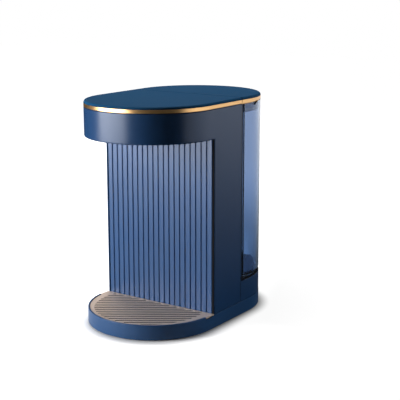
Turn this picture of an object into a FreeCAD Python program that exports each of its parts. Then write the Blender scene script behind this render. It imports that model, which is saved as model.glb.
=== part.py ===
import FreeCAD, Part
import math
import os
import Sketcher

# Driving dimensions in millimetres, counts and degrees. X runs to the right seen from the
# front, the front looks along -Y, Z is up. The origin is the middle of the footprint.
SIZES = {
    # Plan of the housing: a slot shape with round ends at the front and the rear
    "body_radius": 66.0,
    "end_spread": 36.1,
    "base_proud": 0.2,
    "column_front": 28.3,
    "split_back": 19.6,
    # Heights
    "ground_gap": 0.8,
    "seam_height": 14.1,
    "rim_height": 15.3,
    "overall_height": 220.5,
    "cover_height": 2.5,
    "trim_height": 3.3,
    "trim_gap": 0.7,
    "head_depth": 28.1,
    # Walls and the lines between shells
    "shell_wall": 2.2,
    "seam_gap": 0.2,
    "ledge_width": 2.0,
    "ledge_height": 1.2,
    # Soft edges of the head and the column, and the top covers
    "head_edge_round": 0.9,
    "column_round": 1.9,
    "cover_round": 2.2,
    "lid_seam": 0.8,
    "cover_inset": 0.1,
    "cover_wall": 1.8,
    "cover_skirt": 4.3,
    "plug_gap": 0.15,
    # Base shell, its tray pocket and its floor
    "base_wall": 2.2,
    "base_round": 0.5,
    "rim_wall": 1.5,
    "pocket_floor": 4.0,
    "floor_thickness": 1.6,
    "deck_thickness": 2.0,
    "pocket_wall": 2.0,
    "notch_length": 14.0,
    "notch_floor": 12.6,
    "panel_recess": 0.3,
    "wire_hole_width": 24.0,
    "wire_hole_depth": 12.0,
    "bottom_gap": 0.3,
    "bottom_thickness": 1.6,
    "boss_radius": 3.5,
    "boss_across": 45.0,
    "boss_front": 14.0,
    "boss_rear": 62.0,
    "screw_radius": 1.2,
    "screw_length": 7.0,
    "screw_head_radius": 2.6,
    "screw_head_height": 1.0,
    "screw_hole_radius": 1.5,
    "foot_radius": 6.5,
    "foot_across": 34.0,
    "foot_inset": 28.9,
    "vent_length": 40.0,
    "vent_width": 2.5,
    "vent_spacing": 6.0,
    "vent_count": 4,
    # Cord gland in the rear wall of the base
    "gland_radius": 3.6,
    "gland_bore": 2.9,
    "gland_flange": 3.9,
    "gland_flange_depth": 1.4,
    "gland_reach": 6.0,
    # Drip basin and grille plate
    "basin_gap": 0.4,
    "basin_wall": 1.2,
    "basin_rib_across": 22.0,
    "grille_thickness": 1.2,
    "grille_drop": 0.6,
    "grille_gap": 0.5,
    "grille_tab_gap": 0.4,
    "slot_width": 2.3,
    "slot_spacing": 5.5,
    "slot_count": 21,
    "slot_angle": 35.0,
    "slot_field_margin": 8.2,
    "slot_field_beyond": 6.3,
    "slot_back_margin": 3.2,
    # Ribbed front panel of the column
    "rib_count": 20,
    "rib_groove": 1.3,
    "rib_depth": 0.9,
    "rib_round": 0.5,
    "panel_thickness": 2.5,
    "panel_side_gap": 0.2,
    "panel_ledge": 4.0,
    # Outlet under the head
    "underside_thickness": 2.2,
    "nozzle_beyond": 23.9,
    "nozzle_radius": 7.9,
    "nozzle_fit": 0.1,
    "nozzle_drop": 4.5,
    "nozzle_tip_radius": 4.6,
    "nozzle_flange": 10.5,
    "nozzle_flange_height": 1.5,
    "nozzle_chamber": 12.0,
    "nozzle_bore": 2.2,
    "nozzle_wall": 2.0,
    "barb_radius": 3.4,
    "barb_bore": 2.1,
    "barb_length": 9.0,
    "hose_line_lift": 9.1,
    # Rear cover, tank shelf and docking socket
    "back_wall": 2.8,
    "shelf_height": 35.9,
    "shelf_thickness": 2.2,
    "tank_gap": 1.4,
    "tank_foot_gap": 2.1,
    "dock_beyond": 15.9,
    "hose_window": 22.0,
    "hose_window_rise": 8.5,
    "lip_round": 1.0,
    "socket_radius": 15.0,
    "socket_wall": 2.2,
    "socket_fit": 0.1,
    "socket_flange": 18.0,
    "socket_flange_height": 1.8,
    "socket_depth": 8.9,
    "socket_sump": 7.0,
    "seal_below_shelf": 2.7,
    "pin_radius": 1.5,
    "pin_below_shelf": 3.6,
    "seal_gap": 0.05,
    "seal_height": 2.2,
    # Water tank
    "tank_inset": 0.1,
    "tank_wall": 2.2,
    "tank_corner": 6.4,
    "tank_edge": 2.0,
    "plinth_inset": 5.0,
    "neck_radius": 12.0,
    "neck_wall": 2.0,
    "neck_depth": 9.0,
    "notch_space": 12.4,
    "notch_width": 15.9,
    "notch_depth": 3.3,
    # Tank valve
    "valve_lip": 0.5,
    "valve_floor": 3.0,
    "valve_seat": 5.0,
    "cage_wall": 1.3,
    "cage_height": 10.5,
    "cage_roof": 2.0,
    "cage_window": 9.0,
    "stem_radius": 2.0,
    "stem_fit": 0.1,
    "stem_tail": 1.7,
    "stem_over": 4.5,
    "head_radius": 6.5,
    "head_thickness": 2.0,
    "valve_travel": 2.8,
    "valve_seal": 1.2,
    "spring_radius": 4.2,
    "spring_wire": 0.3,
    "spring_turns": 3,
    "spring_gap": 0.05,
    # Level float and its arched housing
    "float_side_space": 3.7,
    "float_corner_space": 0.2,
    "float_house_width": 22.0,
    "float_house_depth": 12.0,
    "float_house_height": 17.3,
    "float_house_wall": 1.5,
    "float_gap": 1.2,
    "float_height": 6.0,
    "magnet_radius": 1.8,
    "magnet_height": 3.0,
    "float_port": 3.0,
    # Tank lid
    "skirt_gap": 0.3,
    "skirt_wall": 1.6,
    "skirt_depth": 8.8,
    "lid_seal_gap": 0.1,
    "lid_seal_groove": 0.8,
    "lid_seal_height": 2.0,
    "lid_seal_lift": 1.5,
    # Inner frame of the column
    "frame_back": 14.0,
    "frame_thickness": 2.4,
    "frame_side_space": 5.8,
    "frame_head_space": 3.9,
    "frame_window": 20.0,
    "standoff_inset": 10.0,
    "standoff_low": 48.0,
    "standoff_drop": 14.0,
    "standoff_radius": 3.5,
    # Pump, its motor and its rotor
    "pump_side_space": 28.8,
    "pump_forward": 4.0,
    "pump_radius": 15.0,
    "pump_wall": 2.2,
    "pump_pad": 2.4,
    "pump_floor": 2.0,
    "pump_chamber": 10.0,
    "pump_cover": 2.5,
    "pump_line_offset": 10.8,
    "motor_radius": 12.0,
    "motor_length": 29.0,
    "motor_neck": 5.0,
    "motor_neck_height": 2.0,
    "shaft_radius": 1.5,
    "shaft_fit": 0.05,
    "shaft_depth": 14.0,
    "impeller_radius": 10.8,
    "impeller_gap": 1.2,
    "impeller_disc": 1.6,
    "impeller_hub": 3.4,
    "vane_count": 6,
    "vane_width": 1.4,
    "vane_height": 3.8,
    "clamp_wall": 2.2,
    "clamp_height": 12.0,
    # Flow heater
    "heater_side_space": 33.8,
    "heater_forward": 4.0,
    "heater_radius": 12.0,
    "heater_wall": 1.2,
    "heater_low": 64.0,
    "heater_headroom": 35.0,
    "heater_cap_height": 8.0,
    "heater_cap_over": 4.0,
    "heater_cap_wall": 2.4,
    "film_thickness": 0.5,
    "film_width": 5.0,
    "film_count": 6,
    "cutoff_zone": 24.0,
    "cutoff_radius": 6.5,
    "cutoff_height": 5.0,
    "cutoff_neck": 4.0,
    "cutoff_step": 3.0,
    "sensor_inset": 4.2,
    "sensor_radius": 2.0,
    "sensor_length": 9.0,
    # Hoses
    "hose_radius": 4.7,
    "hose_slip": 7.0,
    "hose_fit": 0.05,
    "hose_turn_forward": 28.0,
    "hose_rise": 12.5,
    "hose_step": 6.0,
    "clip_radius": 5.3,
    "clip_width": 3.0,
    # Circuit boards
    "board_thickness": 1.6,
    "board_post": 4.0,
    "board_post_radius": 2.5,
    "board_post_inset": 5.0,
    "board_width": 46.0,
    "board_low": 78.0,
    "board_height": 78.0,
    "relay_height": 16.0,
    "relay_depth": 14.0,
    "relay_space": 1.0,
    "choke_size": 18.0,
    "capacitor_radius": 5.0,
    "capacitor_length": 16.0,
    "terminal_height": 8.0,
    "terminal_depth": 9.0,
    "touch_beyond": 14.4,
    "touch_board_half": 30.0,
    "touch_board_depth": 36.0,
    "touch_board_drop": 9.0,
    "touch_post_radius": 2.5,
    "touch_post_inset": 5.0,
    "touch_pad_radius": 8.0,
}


class Size:
    """A number that remembers the sheet expression it comes from."""

    def __init__(self, value, text):
        self.value = float(value)
        self.text = text

    def join(self, other, sign, value):
        return Size(value, f"({self.text} {sign} {sized(other).text})")

    def __add__(self, other):
        return self.join(other, "+", self.value + sized(other).value)

    def __sub__(self, other):
        return self.join(other, "-", self.value - sized(other).value)

    def __mul__(self, other):
        return self.join(other, "*", self.value * sized(other).value)

    def __truediv__(self, other):
        return self.join(other, "/", self.value / sized(other).value)

    def __neg__(self):
        return Size(-self.value, f"(0 - {self.text})")


def sized(number):
    """A plain number as a Size, so that both can be mixed in a sum."""
    if isinstance(number, Size):
        return number
    return Size(number, repr(float(number)))


class Sheet:
    """The driving dimensions, read by name as sizes tied to the spreadsheet."""

    def __getattr__(self, name):
        return Size(SIZES[name], f"Sizes.{name}")


s = Sheet()
NEAR = 0.01  # two places closer than this are the same place
ZERO = Size(0, "0")
vec = FreeCAD.Vector
doc = FreeCAD.newDocument("WaterWarmer")
sheet = doc.addObject("Spreadsheet::Sheet", "Sizes")
for row, (alias, number) in enumerate(SIZES.items(), start=1):
    sheet.set(f"A{row}", alias)
    sheet.set(f"B{row}", str(number))
    sheet.setAlias(f"B{row}", alias)
doc.recompute()

nodes = []
cuts = []


# Sketch outlines, each tied to its sizes
def pin(sketch, shape, point, x, y):
    """Fix one point of a shape at x, y from the sketch's origin."""
    for kind, axis, size in (("DistanceX", -2, x), ("DistanceY", -1, y)):
        if size.text == ZERO.text:
            sketch.addConstraint(Sketcher.Constraint("PointOnObject", shape, point, axis))
            continue
        index = sketch.addConstraint(Sketcher.Constraint(kind, -1, 1, shape, point, size.value))
        sketch.setExpression(f"Constraints[{index}]", size.text)


def tie_radius(sketch, shape, radius):
    index = sketch.addConstraint(Sketcher.Constraint("Radius", shape, radius.value))
    sketch.setExpression(f"Constraints[{index}]", radius.text)


def polygon(sketch, points):
    """A closed outline with straight sides."""
    places = [vec(x.value, y.value, 0) for x, y in points]
    following = places[1:] + places[:1]
    sides = [sketch.addGeometry(Part.LineSegment(a, b), False) for a, b in zip(places, following)]
    for number, side in enumerate(sides):
        sketch.addConstraint(Sketcher.Constraint("Coincident", sides[number - 1], 2, side, 1))
    for side, (x, y) in zip(sides, points):
        pin(sketch, side, 1, x, y)


def rectangle(sketch, left, right, low, high):
    polygon(sketch, [(left, low), (right, low), (right, high), (left, high)])


def circle(sketch, x, y, radius):
    shape = sketch.addGeometry(Part.Circle(vec(x.value, y.value, 0), vec(0, 0, 1), radius.value), False)
    pin(sketch, shape, 3, x, y)
    tie_radius(sketch, shape, radius)


def add_arc(sketch, x, y, radius, start, end):
    full = Part.Circle(vec(x, y, 0), vec(0, 0, 1), radius)
    return sketch.addGeometry(Part.ArcOfCircle(full, start, end), False)


def add_line(sketch, x1, y1, x2, y2):
    return sketch.addGeometry(Part.LineSegment(vec(x1, y1, 0), vec(x2, y2, 0)), False)


def relate(sketch, kind, *where):
    sketch.addConstraint(Sketcher.Constraint(kind, *where))


def stadium(sketch, radius, spread=None):
    """Two half circles on the Y axis joined by straight sides."""
    spread = spread or s.end_spread
    r, d = radius.value, spread.value
    front = add_arc(sketch, 0, -d, r, math.pi, 2 * math.pi)
    right = add_line(sketch, r, -d, r, d)
    rear = add_arc(sketch, 0, d, r, 0, math.pi)
    left = add_line(sketch, -r, d, -r, -d)
    for one, other in ((front, right), (right, rear), (rear, left), (left, front)):
        relate(sketch, "Tangent", one, 2, other, 1)
    relate(sketch, "Equal", front, rear)
    pin(sketch, front, 3, ZERO, -spread)
    pin(sketch, rear, 3, ZERO, spread)
    tie_radius(sketch, front, radius)


def end_shape(sketch, radius, flat, rear):
    """One round end of the plan, closed by a straight side at Y = flat."""
    r, f = radius.value, flat.value
    d = s.end_spread.value if rear else -s.end_spread.value
    if rear:
        arc = add_arc(sketch, 0, d, r, 0, math.pi)
        down = add_line(sketch, -r, d, -r, f)
        across = add_line(sketch, -r, f, r, f)
        back = add_line(sketch, r, f, r, d)
    else:
        arc = add_arc(sketch, 0, d, r, math.pi, 2 * math.pi)
        down = add_line(sketch, r, d, r, f)
        across = add_line(sketch, r, f, -r, f)
        back = add_line(sketch, -r, f, -r, d)
    relate(sketch, "Tangent", arc, 2, down, 1)
    relate(sketch, "Coincident", down, 2, across, 1)
    relate(sketch, "Coincident", across, 2, back, 1)
    relate(sketch, "Tangent", back, 2, arc, 1)
    relate(sketch, "Vertical", down)
    relate(sketch, "Vertical", back)
    relate(sketch, "Horizontal", across)
    pin(sketch, arc, 3, ZERO, s.end_spread if rear else -s.end_spread)
    tie_radius(sketch, arc, radius)
    index = sketch.addConstraint(Sketcher.Constraint("DistanceY", -1, 1, across, 1, f))
    sketch.setExpression(f"Constraints[{index}]", flat.text)


def front_end(sketch, radius, flat):
    end_shape(sketch, radius, flat, False)


def rear_end(sketch, radius, flat):
    end_shape(sketch, radius, flat, True)


def arch(sketch, middle, width, low, high):
    """A doorway outline: straight sides with a half circle on top."""
    r = width.value / 2
    m, z0, z1 = middle.value, low.value, high.value - r
    bottom = add_line(sketch, m - r, z0, m + r, z0)
    right = add_line(sketch, m + r, z0, m + r, z1)
    top = add_arc(sketch, m, z1, r, 0, math.pi)
    left = add_line(sketch, m - r, z1, m - r, z0)
    relate(sketch, "Coincident", bottom, 2, right, 1)
    relate(sketch, "Tangent", right, 2, top, 1)
    relate(sketch, "Tangent", top, 2, left, 1)
    relate(sketch, "Coincident", left, 2, bottom, 1)
    relate(sketch, "Horizontal", bottom)
    relate(sketch, "Vertical", right)
    relate(sketch, "Vertical", left)
    pin(sketch, top, 3, middle, high - width / 2)
    tie_radius(sketch, top, width / 2)
    index = sketch.addConstraint(Sketcher.Constraint("DistanceY", -1, 1, bottom, 1, z0))
    sketch.setExpression(f"Constraints[{index}]", low.text)


def rib_outline(sketch, half, foot, crest, rounding):
    """A rib's section: straight sides and a flat crest with round corners, towards -Y."""
    w, y0, y1, r = half.value, foot.value, crest.value, rounding.value
    base = add_line(sketch, w, y0, -w, y0)
    left = add_line(sketch, -w, y0, -w, y1 + r)
    left_corner = add_arc(sketch, -w + r, y1 + r, r, math.pi, 1.5 * math.pi)
    flat = add_line(sketch, -w + r, y1, w - r, y1)
    right_corner = add_arc(sketch, w - r, y1 + r, r, 1.5 * math.pi, 2 * math.pi)
    right = add_line(sketch, w, y1 + r, w, y0)
    relate(sketch, "Coincident", base, 2, left, 1)
    relate(sketch, "Tangent", left, 2, left_corner, 1)
    relate(sketch, "Tangent", left_corner, 2, flat, 1)
    relate(sketch, "Tangent", flat, 2, right_corner, 1)
    relate(sketch, "Tangent", right_corner, 2, right, 1)
    relate(sketch, "Coincident", right, 2, base, 1)
    relate(sketch, "Vertical", left)
    relate(sketch, "Vertical", right)
    tie_radius(sketch, left_corner, rounding)
    tie_radius(sketch, right_corner, rounding)
    pin(sketch, base, 1, half, foot)
    pin(sketch, base, 2, -half, foot)
    index = sketch.addConstraint(Sketcher.Constraint("DistanceY", -1, 1, flat, 1, y1))
    sketch.setExpression(f"Constraints[{index}]", crest.text)


# Features of a body
def new_piece(name, listed=True):
    """A body for one piece; listed pieces are written out under their own name."""
    body = doc.addObject("PartDesign::Body", name)
    body.Label = name
    if listed:
        nodes.append(body)
    return body


def place(body, x, y, z=ZERO):
    for axis, size in (("x", x), ("y", y), ("z", z)):
        body.setExpression(f"Placement.Base.{axis}", size.text)


def new_sketch(body, name, role, offset, draw):
    """A sketch on one of the body's origin planes, offset along the plane's normal."""
    sketch = body.newObject("Sketcher::SketchObject", name)
    origin_plane = next(item for item in body.Origin.OriginFeatures if item.Role == role)
    sketch.AttachmentSupport = [(origin_plane, "")]
    sketch.MapMode = "FlatFace"
    sketch.setExpression("AttachmentOffset.Base.z", offset.text)
    draw(sketch)
    return sketch


def along_normal(role, low, high):
    """The range low to high of a world axis, as a range along the plane's normal."""
    if role == "XZ_Plane":
        return -high, -low
    return low, high


def add(body, name, low, high, draw, role="XY_Plane"):
    """Material with the drawn outline between two places along the plane's normal."""
    start, end = along_normal(role, low, high)
    sketch = new_sketch(body, name + "_sketch", role, start, draw)
    pad = body.newObject("PartDesign::Pad", name)
    pad.Profile = sketch
    pad.setExpression("Length", (end - start).text)
    return pad


def cut(body, name, low, high, draw, role="XY_Plane"):
    """Take the drawn outline away between two places along the plane's normal."""
    start, end = along_normal(role, low, high)
    sketch = new_sketch(body, name + "_sketch", role, end, draw)
    before = body.Tip
    pocket = body.newObject("PartDesign::Pocket", name)
    pocket.Profile = sketch
    pocket.setExpression("Length", (end - start).text)
    cuts.append((before, pocket))
    return pocket


def turn(body, name, profile):
    """A round piece about the body's own Z axis, from radius and height pairs."""
    sketch = new_sketch(body, name + "_sketch", "XZ_Plane", ZERO, lambda k: polygon(k, profile))
    revolved = body.newObject("PartDesign::Revolution", name)
    revolved.Profile = sketch
    revolved.ReferenceAxis = (sketch, ["V_Axis"])
    revolved.Angle = 360
    return revolved


def round_edges(body, name, radius, pick):
    """A fillet on the edges of the body that pick says yes to."""
    doc.recompute()
    shape = body.Tip.Shape
    picked = [f"Edge{number}" for number, edge in enumerate(shape.Edges, start=1) if pick(edge)]
    if not picked:
        raise RuntimeError(f"no edges for {name}")
    fillet = body.newObject("PartDesign::Fillet", name)
    fillet.Base = (fillet.BaseFeature, picked)
    fillet.setExpression("Radius", radius.text)
    return fillet


def repeat(body, feature, name, axis, length, count):
    """Copies of one feature in a row along an axis of its sketch."""
    row_of = body.newObject("PartDesign::LinearPattern", name)
    row_of.Originals = [feature]
    row_of.Direction = (feature.Profile[0], [axis])
    row_of.setExpression("Length", length.text)
    row_of.setExpression("Occurrences", count.text)
    body.Tip = row_of
    return row_of


def repeat_round(body, feature, name, count):
    """Copies of one feature evenly round the body's Z axis."""
    ring_of = body.newObject("PartDesign::PolarPattern", name)
    ring_of.Originals = [feature]
    ring_of.Axis = (feature.Profile[0], ["N_Axis"])
    ring_of.Angle = 360
    ring_of.setExpression("Occurrences", count.text)
    body.Tip = ring_of
    return ring_of


def level(edge, height):
    """True for an edge that lies flat at a height."""
    box = edge.BoundBox
    return abs(box.ZMin - height.value) < NEAR and abs(box.ZMax - height.value) < NEAR


# Places worked out from the driving dimensions
trim_top = s.overall_height - s.cover_height
trim_low = trim_top - s.trim_height
head_top = trim_low - s.trim_gap
head_underside = head_top - s.head_depth
base_radius = s.body_radius + s.base_proud
shell_inner = s.body_radius - s.shell_wall
plan_end = s.end_spread + s.body_radius * 2
housing_bottom = s.seam_height + s.seam_gap
rear_start = s.split_back + s.seam_gap
lid_start = s.split_back + s.lid_seam
back_face = rear_start + s.back_wall
tank_front = back_face + s.tank_gap
tank_bottom = s.shelf_height + s.tank_foot_gap
under_level = s.pocket_floor - s.floor_thickness
deck_under = s.seam_height - s.deck_thickness
pocket_inner = base_radius - s.rim_wall
panel_crest = -s.column_front + s.panel_recess
hollow_front = -s.column_front + s.pocket_wall
bottom_top = under_level + s.bottom_thickness
plate_top = s.rim_height - s.grille_drop
plate_low = plate_top - s.grille_thickness


def four_screws(sketch, radius):
    """The four screw places of the bottom cover."""
    for x in (-s.boss_across, s.boss_across):
        for y in (-s.boss_front, s.boss_rear):
            circle(sketch, x, y, radius)


# Base shell: the tray carrier in front and the hollow foot of the column behind it
base = new_piece("base_shell")
add(base, "outer_form", s.ground_gap, s.rim_height, lambda k: stadium(k, base_radius))
cut(base, "column_seat", s.seam_height, s.rim_height,
    lambda k: rectangle(k, -plan_end, plan_end, -s.column_front, plan_end))
cut(base, "finger_notches", s.notch_floor, s.rim_height,
    lambda k: rectangle(k, -plan_end, plan_end, -s.column_front - s.notch_length, -s.column_front))
cut(base, "tray_pocket", s.pocket_floor, s.rim_height,
    lambda k: front_end(k, pocket_inner, -s.column_front))
cut(base, "underside", s.ground_gap, under_level,
    lambda k: stadium(k, base_radius - s.base_wall))
cut(base, "rear_hollow", under_level, deck_under,
    lambda k: rear_end(k, base_radius - s.base_wall, hollow_front))
add(base, "screw_bosses", bottom_top, deck_under, lambda k: four_screws(k, s.boss_radius))
cut(base, "boss_holes", bottom_top, deck_under, lambda k: four_screws(k, s.screw_radius))
cut(base, "wire_hole", deck_under, s.seam_height,
    lambda k: rectangle(k, -s.wire_hole_width / 2, s.wire_hole_width / 2,
                        ZERO - s.wire_hole_depth / 2, s.wire_hole_depth / 2))
gland_height = (bottom_top + deck_under) / 2
cut(base, "gland_hole", s.end_spread + base_radius - s.base_wall * 2, s.end_spread + base_radius,
    lambda k: circle(k, ZERO, gland_height, s.gland_radius), role="XZ_Plane")
round_edges(base, "rim_round", s.base_round,
            lambda e: level(e, s.rim_height) and e.BoundBox.XLength > base_radius.value
            and e.BoundBox.YMin < -(s.end_spread + pocket_inner).value - 0.1)

# Bottom cover of the base with its air slots and screws
bottom = new_piece("bottom_cover")
add(bottom, "plate", under_level, bottom_top,
    lambda k: rear_end(k, base_radius - s.base_wall - s.bottom_gap, hollow_front + s.bottom_gap))
cut(bottom, "screw_holes", under_level, bottom_top, lambda k: four_screws(k, s.screw_hole_radius))
vent = cut(bottom, "air_slot", under_level, bottom_top,
           lambda k: rectangle(k, -s.vent_length / 2, s.vent_length / 2,
                               s.boss_front, s.boss_front + s.vent_width))
repeat(bottom, vent, "air_slots", "V_Axis", s.vent_spacing * (s.vent_count - 1), s.vent_count)

screws = new_piece("base_screws")
add(screws, "heads", under_level - s.screw_head_height, under_level,
    lambda k: four_screws(k, s.screw_head_radius))
add(screws, "shanks", under_level, under_level + s.screw_length,
    lambda k: four_screws(k, s.screw_radius))

foot_along = s.end_spread + base_radius - s.foot_inset
for side, across in (("left", -s.foot_across), ("right", s.foot_across)):
    for end, along in (("front", -foot_along), ("rear", foot_along)):
        foot = new_piece(f"foot_{end}_{side}")
        place(foot, across, along)
        turn(foot, "pad", [(ZERO, ZERO), (s.foot_radius - s.base_round, ZERO),
                           (s.foot_radius, s.base_round), (s.foot_radius, under_level),
                           (ZERO, under_level)])

# Cord gland, a bushing clipped in the rear wall of the base
gland = new_piece("cord_gland")
gland.Placement = FreeCAD.Placement(vec(0, 0, 0), FreeCAD.Rotation(vec(1, 0, 0), -90))
wall_inside = s.end_spread + base_radius - s.base_wall
place(gland, ZERO, wall_inside, gland_height)
gland_nose = s.base_wall - s.seam_gap
turn(gland, "bushing", [
    (s.gland_bore, -s.gland_reach), (s.gland_bore + s.gland_flange_depth / 2, -s.gland_reach),
    (s.gland_flange, -s.gland_flange_depth), (s.gland_flange, -s.seam_gap),
    (s.gland_radius - s.plug_gap, -s.seam_gap), (s.gland_radius - s.plug_gap, gland_nose),
    (s.gland_bore, gland_nose)])

# Drip basin, lifted out with its grille
basin = new_piece("drip_basin")
basin_radius = pocket_inner - s.basin_gap
basin_back = -s.column_front - s.basin_gap
add(basin, "basin_form", s.pocket_floor, plate_low, lambda k: front_end(k, basin_radius, basin_back))
cut(basin, "basin_hollow", s.pocket_floor + s.basin_wall, plate_low,
    lambda k: front_end(k, basin_radius - s.basin_wall, basin_back - s.basin_wall))


def basin_ribs(sketch):
    """Two low walls that hold the plate up in the middle."""
    for x in (-s.basin_rib_across, s.basin_rib_across):
        rectangle(sketch, x - s.basin_wall / 2, x + s.basin_wall / 2,
                  -s.end_spread - s.body_radius * 0.7, basin_back - s.basin_wall)


add(basin, "support_ribs", s.pocket_floor + s.basin_wall, plate_low, basin_ribs)

# Grille plate: an end-shaped plate with side tabs and slanted slots
plate = new_piece("grille_plate", listed=False)
grille_radius = pocket_inner - s.grille_gap
add(plate, "plate_form", plate_low, plate_top, lambda k: front_end(k, grille_radius, basin_back))
add(plate, "side_tabs", plate_low, plate_top,
    lambda k: rectangle(k, -s.body_radius, s.body_radius,
                        -s.column_front - s.notch_length + s.grille_tab_gap, basin_back))
field_forward = s.end_spread + s.slot_field_beyond
field_radius = grille_radius - s.slot_field_margin
field = new_piece("grille_field", listed=False)
field_low = plate_low - s.grille_thickness
field_high = plate_top + s.grille_thickness
add(field, "field_disc", field_low, field_high,
    lambda k: circle(k, ZERO, -field_forward, field_radius))
cut(field, "field_back", field_low, field_high,
    lambda k: rectangle(k, -plan_end, plan_end, -s.column_front - s.slot_back_margin, plan_end))
bars = new_piece("grille_slot_row", listed=False)
bars.Placement = FreeCAD.Placement(vec(0, 0, 0), FreeCAD.Rotation(vec(0, 0, 1), 0))
place(bars, ZERO, -field_forward)
bars.setExpression("Placement.Rotation.Angle", s.slot_angle.text)
first_slot = -(s.slot_spacing * (s.slot_count - 1)) / 2
slot = add(bars, "slot", field_low, field_high,
           lambda k: rectangle(k, -plan_end, plan_end, first_slot - s.slot_width / 2,
                               first_slot + s.slot_width / 2))
repeat(bars, slot, "slots", "V_Axis", s.slot_spacing * (s.slot_count - 1), s.slot_count)
slot_bank = doc.addObject("Part::Common", "slot_bank")
slot_bank.Base = field
slot_bank.Tool = bars
grille = doc.addObject("Part::Cut", "drip_grille")
grille.Label = "drip_grille"
grille.Base = plate
grille.Tool = slot_bank
nodes.append(grille)

# Main housing: the band of the head and the side walls of the column in one shell
housing = new_piece("main_housing")
ledge_low = head_underside + s.seam_gap + s.underside_thickness
ledge_top = ledge_low + s.ledge_height
panel_back = panel_crest + s.rib_depth + s.panel_thickness
add(housing, "outer_form", housing_bottom, head_top, lambda k: stadium(k, s.body_radius))
cut(housing, "rear_side", housing_bottom, head_top,
    lambda k: rectangle(k, -plan_end, plan_end, s.split_back, plan_end))
cut(housing, "bottle_bay", housing_bottom, head_underside,
    lambda k: rectangle(k, -plan_end, plan_end, -plan_end, -s.column_front))
round_edges(housing, "head_edge", s.head_edge_round,
            lambda e: level(e, head_underside) and e.BoundBox.YMax < -s.column_front.value + NEAR
            and e.BoundBox.YLength > NEAR)
round_edges(housing, "column_edges", s.column_round,
            lambda e: abs(e.BoundBox.YMin + s.column_front.value) < NEAR
            and e.BoundBox.YLength < NEAR and e.BoundBox.ZLength > s.column_front.value)
cut(housing, "hollow", housing_bottom, head_top,
    lambda k: stadium(k, shell_inner - s.ledge_width))
cut(housing, "hollow_above_ledge", ledge_top, head_top, lambda k: stadium(k, shell_inner))
cut(housing, "hollow_below_ledge", housing_bottom, ledge_low, lambda k: stadium(k, shell_inner))
add(housing, "trim_seat", head_top, trim_low,
    lambda k: (stadium(k, s.body_radius - s.shell_wall / 2), stadium(k, shell_inner)))
cut(housing, "trim_seat_rear", head_top, trim_low,
    lambda k: rectangle(k, -plan_end, plan_end, s.split_back, plan_end))


def panel_ledges(sketch):
    """Upright strips inside both side walls that the ribbed panel rests against."""
    for inner, outer in ((-shell_inner + s.panel_ledge, -shell_inner - s.shell_wall / 2),
                         (shell_inner - s.panel_ledge, shell_inner + s.shell_wall / 2)):
        rectangle(sketch, inner, outer, panel_back, panel_back + s.ledge_width)


add(housing, "panel_ledges", housing_bottom, ledge_low, panel_ledges)

# Ribbed panel that closes the front of the column
panel = new_piece("ribbed_panel")
panel_half = shell_inner - s.panel_side_gap
rib_foot = panel_crest + s.rib_depth
add(panel, "panel_back", housing_bottom, head_underside,
    lambda k: rectangle(k, -panel_half, panel_half, rib_foot, panel_back))
rib_spacing = panel_half * 2 / s.rib_count
rib_half = (rib_spacing - s.rib_groove) / 2
rib_run = rib_spacing * (s.rib_count - 1)
first_rib = new_piece("rib_row", listed=False)
place(first_rib, -rib_run / 2, ZERO)
rib = add(first_rib, "rib", housing_bottom, head_underside,
          lambda k: rib_outline(k, rib_half, rib_foot + s.seam_gap, panel_crest, s.rib_round))
repeat(first_rib, rib, "ribs", "H_Axis", rib_run, s.rib_count)
nodes.remove(panel)
panel.Label = "panel_plate"
ribbed = doc.addObject("Part::Fuse", "ribbed_panel_form")
ribbed.Label = "ribbed_panel"
ribbed.Base = panel
ribbed.Tool = first_rib
nodes.append(ribbed)

# Cover under the head, with the hole for the outlet
underside = new_piece("head_underside")
underside_low = head_underside + s.seam_gap
nozzle_hole = s.nozzle_radius + s.nozzle_fit
nozzle_forward = s.end_spread + s.nozzle_beyond
hose_line = head_underside + s.hose_line_lift
add(underside, "cover_plate", underside_low, ledge_low,
    lambda k: front_end(k, shell_inner - s.plug_gap, panel_back))
cut(underside, "nozzle_hole", underside_low, ledge_low,
    lambda k: circle(k, ZERO, -nozzle_forward, nozzle_hole))

# Outlet nozzle: a turned chamber with a barb towards the column
nozzle = new_piece("outlet_nozzle")
place(nozzle, ZERO, -nozzle_forward)
nozzle_tip = head_underside - s.nozzle_drop
nozzle_flange_top = ledge_low + s.nozzle_flange_height
nozzle_top = nozzle_flange_top + s.nozzle_chamber
chamber_radius = s.nozzle_radius - s.nozzle_wall
turn(nozzle, "chamber", [
    (s.nozzle_bore, nozzle_tip), (s.nozzle_tip_radius, nozzle_tip),
    (s.nozzle_radius, head_underside), (s.nozzle_radius, ledge_low),
    (s.nozzle_flange, ledge_low), (s.nozzle_flange, nozzle_flange_top),
    (s.nozzle_radius, nozzle_flange_top), (s.nozzle_radius, nozzle_top), (ZERO, nozzle_top),
    (ZERO, nozzle_top - s.nozzle_wall), (chamber_radius, nozzle_top - s.nozzle_wall),
    (chamber_radius, nozzle_flange_top), (s.nozzle_bore, nozzle_flange_top - s.nozzle_wall)])
add(nozzle, "barb", chamber_radius + s.nozzle_wall / 2, s.nozzle_radius + s.barb_length,
    lambda k: circle(k, ZERO, hose_line, s.barb_radius), role="XZ_Plane")
cut(nozzle, "barb_bore", ZERO, s.nozzle_radius + s.barb_length,
    lambda k: circle(k, ZERO, hose_line, s.barb_bore), role="XZ_Plane")


# Top covers and their metal trim bands
def covered_top(body):
    """The plate of a top cover with its soft edge, still whole front to rear."""
    add(body, "plate", trim_top, s.overall_height, lambda k: stadium(k, s.body_radius - s.cover_inset))
    round_edges(body, "soft_edge", s.cover_round, lambda e: level(e, s.overall_height))


def trim_band(body):
    """The metal band under a top cover, still whole front to rear."""
    add(body, "band", trim_low, trim_top,
        lambda k: (stadium(k, s.body_radius), stadium(k, shell_inner)))


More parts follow.
